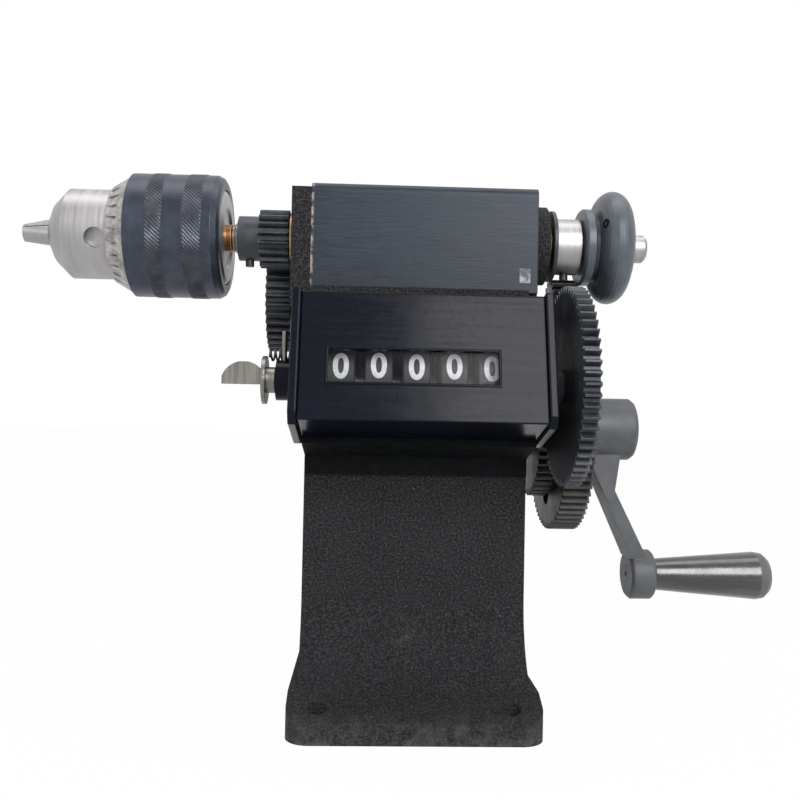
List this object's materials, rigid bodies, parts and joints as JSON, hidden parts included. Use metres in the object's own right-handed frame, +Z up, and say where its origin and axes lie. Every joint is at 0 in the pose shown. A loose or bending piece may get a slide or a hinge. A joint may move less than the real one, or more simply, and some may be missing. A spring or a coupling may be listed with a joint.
{
  "type": "wire coil winding machine",
  "caption": "Hand-cranked bench winder for wire coils: cast stand, geared spindle with key chuck and belt pulley, reset counter behind a window, cranked handle with turning grip.",
  "frame": {"origin": "middle of the foot's flat underside, below the spindle axis", "axes": "+X along the spindle from the chuck to the pulley, -Y towards the operator and the counter's window, +Z up"},
  "size_m": [0.2679, 0.1202, 0.1758],
  "materials": {
    "cast_iron": "rough black painted casting",
    "black_sheet": "brushed black sheet",
    "bronze": "turned bronze",
    "bright_steel": "turned bright steel",
    "dark_steel": "oiled dark steel",
    "blue_grey_paint": "satin blue-grey enamel",
    "brown_steel": "oiled brown-grey steel",
    "blued_steel": "blued steel with knurled bands",
    "copper_plate": "copper-coloured thread",
    "nickel": "dull nickel plate",
    "grey_paint": "grey enamel",
    "grip_lacquer": "polished black",
    "black_plastic": "glossy black",
    "clear_pane": "clear pane",
    "number_wheel": "black wheel with white numbers",
    "spring_wire": "dark spring wire"
  },
  "bodies": {
    "frame": {"frame_casting": "cast_iron", "head_cover": "black_sheet", "spindle_bush_left": "bronze", "spindle_bush_right": "bronze", "layshaft_bush_left": "bronze", "layshaft_bush_right": "bronze", "crank_bush": "bronze", "counter_body": "black_plastic", "counter_window": "clear_pane", "counter_end_plate_left": "black_plastic", "counter_end_plate_right": "black_plastic", "counter_boss": "black_plastic", "counter_bracket": "black_sheet", "spring_post": "nickel", "detent_spring": "spring_wire"},
    "crank": {"crank_shaft": "bright_steel", "crank_gear": "brown_steel", "tally_drive_gear": "dark_steel", "crank_arm": "grey_paint", "grip_pin": "grey_paint"},
    "grip": {"crank_grip": "grip_lacquer"},
    "layshaft": {"layshaft": "bright_steel", "layshaft_gear": "dark_steel", "layshaft_pinion": "dark_steel"},
    "spindle": {"spindle": "bright_steel", "spindle_pinion": "dark_steel", "pinion_set_screw": "dark_steel", "thrust_washer": "dark_steel", "spindle_collar": "bright_steel", "collar_set_screw": "dark_steel", "drive_pulley": "blue_grey_paint", "arbor_nut": "nickel", "chuck_arbor": "copper_plate", "chuck_body": "bright_steel", "chuck_rear_disc": "bright_steel"},
    "sleeve": {"chuck_sleeve": "blued_steel", "chuck_jaw_nut": "dark_steel"},
    "counter_drive": {"counter_shaft": "bright_steel", "counter_gear": "dark_steel", "counter_gear_spacer": "dark_steel", "number_wheel_units": "number_wheel"},
    "reset": {"reset_wing": "nickel"},
    "wheel_tens": {"number_wheel_tens": "number_wheel"},
    "wheel_hundreds": {"number_wheel_hundreds": "number_wheel"},
    "wheel_thousands": {"number_wheel_thousands": "number_wheel"},
    "wheel_ten_thousands": {"number_wheel_ten_thousands": "number_wheel"},
    "jaw_1": {"chuck_jaw_1": "bright_steel"},
    "jaw_2": {"chuck_jaw_2": "bright_steel"},
    "jaw_3": {"chuck_jaw_3": "bright_steel"}
  },
  "joints": [
    {"name": "crank_turn", "type": "hinge", "parent": "frame", "child": "crank", "pos_m": [0, 0.02, 0.09186], "axis": [1, 0, 0], "continuous": true},
    {"name": "layshaft_turn", "type": "hinge", "parent": "frame", "child": "layshaft", "pos_m": [0, 0.02, 0.13686], "axis": [1, 0, 0], "continuous": true},
    {"name": "spindle_turn", "type": "hinge", "parent": "frame", "child": "spindle", "pos_m": [0, 0, 0.155], "axis": [1, 0, 0], "continuous": true},
    {"name": "counter_turn", "type": "hinge", "parent": "frame", "child": "counter_drive", "pos_m": [0, -0.03236, 0.10506], "axis": [1, 0, 0], "continuous": true},
    {"name": "grip_turn", "type": "hinge", "parent": "crank", "child": "grip", "pos_m": [0, 0.02, 0.03856], "axis": [1, 0, 0], "continuous": true},
    {"name": "reset_turn", "type": "hinge", "parent": "frame", "child": "reset", "pos_m": [0, -0.03236, 0.10506], "axis": [1, 0, 0], "range_deg": [0, 360]},
    {"name": "sleeve_turn", "type": "hinge", "parent": "spindle", "child": "sleeve", "pos_m": [0, 0, 0.155], "axis": [1, 0, 0], "range_deg": [0, 3600]},
    {"name": "tens_turn", "type": "hinge", "parent": "frame", "child": "wheel_tens", "pos_m": [0, -0.03236, 0.10506], "axis": [1, 0, 0], "continuous": true},
    {"name": "hundreds_turn", "type": "hinge", "parent": "frame", "child": "wheel_hundreds", "pos_m": [0, -0.03236, 0.10506], "axis": [1, 0, 0], "continuous": true},
    {"name": "thousands_turn", "type": "hinge", "parent": "frame", "child": "wheel_thousands", "pos_m": [0, -0.03236, 0.10506], "axis": [1, 0, 0], "continuous": true},
    {"name": "ten_thousands_turn", "type": "hinge", "parent": "frame", "child": "wheel_ten_thousands", "pos_m": [0, -0.03236, 0.10506], "axis": [1, 0, 0], "continuous": true},
    {"name": "jaw_1_slide", "type": "slide", "parent": "spindle", "child": "jaw_1", "axis": [0.9781, 0, 0.2079], "range_m": [0, 0.021]},
    {"name": "jaw_2_slide", "type": "slide", "parent": "spindle", "child": "jaw_2", "axis": [0.9781, -0.1801, -0.104], "range_m": [0, 0.021]},
    {"name": "jaw_3_slide", "type": "slide", "parent": "spindle", "child": "jaw_3", "axis": [0.9781, 0.1801, -0.104], "range_m": [0, 0.021]}
  ],
  "couplings": [
    {"joint": "layshaft_turn", "follows": "crank_turn", "ratio": -4},
    {"joint": "spindle_turn", "follows": "crank_turn", "ratio": 8},
    {"joint": "counter_turn", "follows": "crank_turn", "ratio": -0.8},
    {"joint": "tens_turn", "follows": "crank_turn", "ratio": -0.08},
    {"joint": "hundreds_turn", "follows": "crank_turn", "ratio": -0.008},
    {"joint": "thousands_turn", "follows": "crank_turn", "ratio": -0.0008},
    {"joint": "ten_thousands_turn", "follows": "crank_turn", "ratio": -0.00008},
    {"joint": "jaw_1_slide", "follows": "sleeve_turn", "m_per_rad": 0.0003},
    {"joint": "jaw_2_slide", "follows": "sleeve_turn", "m_per_rad": 0.0003},
    {"joint": "jaw_3_slide", "follows": "sleeve_turn", "m_per_rad": 0.0003}
  ]
}
